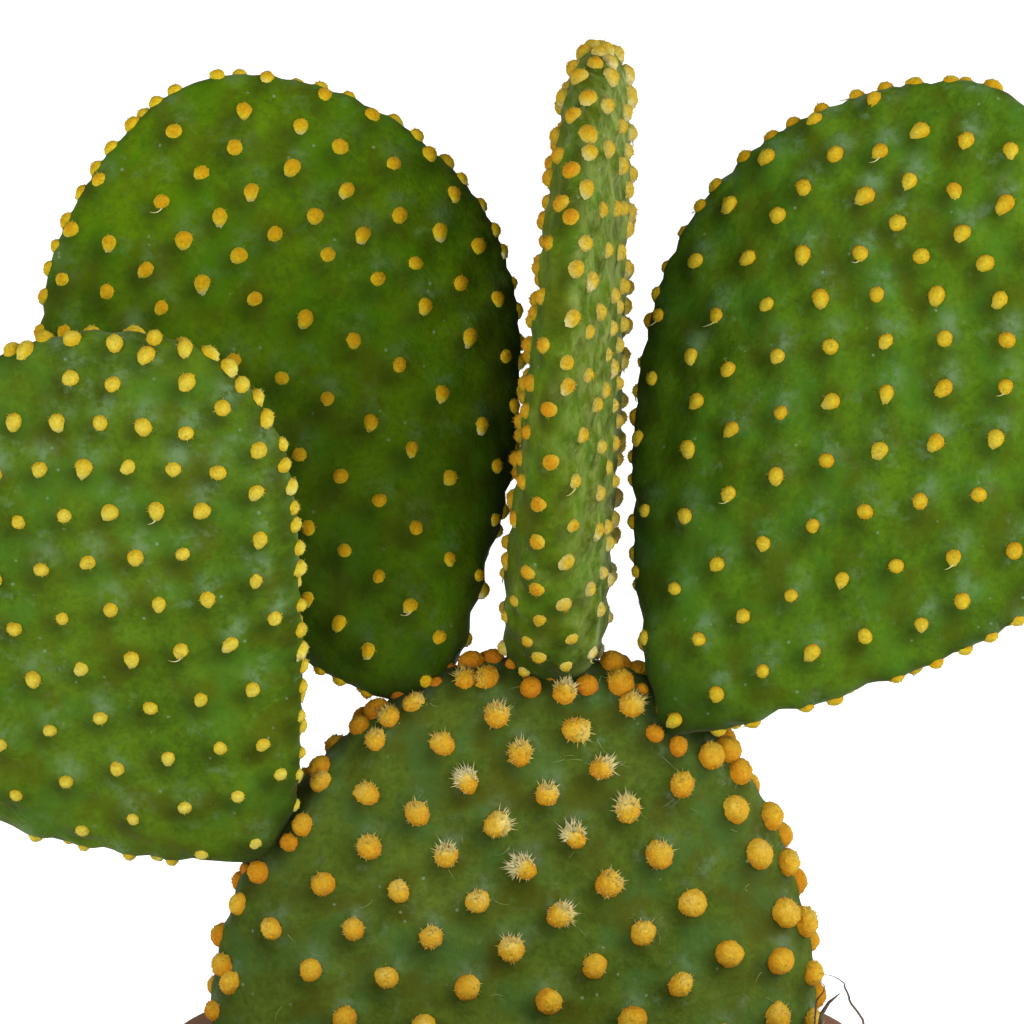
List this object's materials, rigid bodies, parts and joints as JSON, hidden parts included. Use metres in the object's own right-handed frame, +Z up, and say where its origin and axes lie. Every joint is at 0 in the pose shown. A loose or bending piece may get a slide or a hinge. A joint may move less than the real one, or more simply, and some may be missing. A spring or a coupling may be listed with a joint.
{
  "type": "potted paddle cactus",
  "caption": "Bunny-ears cactus with flat oval pads covered in small bristle tufts, growing from one another and standing in soil in a plain round clay pot.",
  "frame": {"origin": "centre of the pot's flat foot", "axes": "+Z up out of the pot, +X to the viewer's right along the lowest pad's width, +Y away from the viewer"},
  "size_m": [0.2033, 0.102, 0.2344],
  "materials": {
    "pot": "matt fired clay",
    "soil": "rough, crumbly",
    "pad_base": "velvety, grey-green",
    "pad_right": "velvety, mid green",
    "pad_back_left": "velvety, mid green",
    "pad_front_left": "velvety, mid green",
    "pad_middle": "velvety, light green"
  },
  "bodies": {
    "root": {"pot": "pot", "soil": "soil", "pad_base": "pad_base", "pad_right": "pad_right", "pad_back_left": "pad_back_left", "pad_front_left": "pad_front_left", "pad_middle": "pad_middle"}
  },
  "joints": []
}
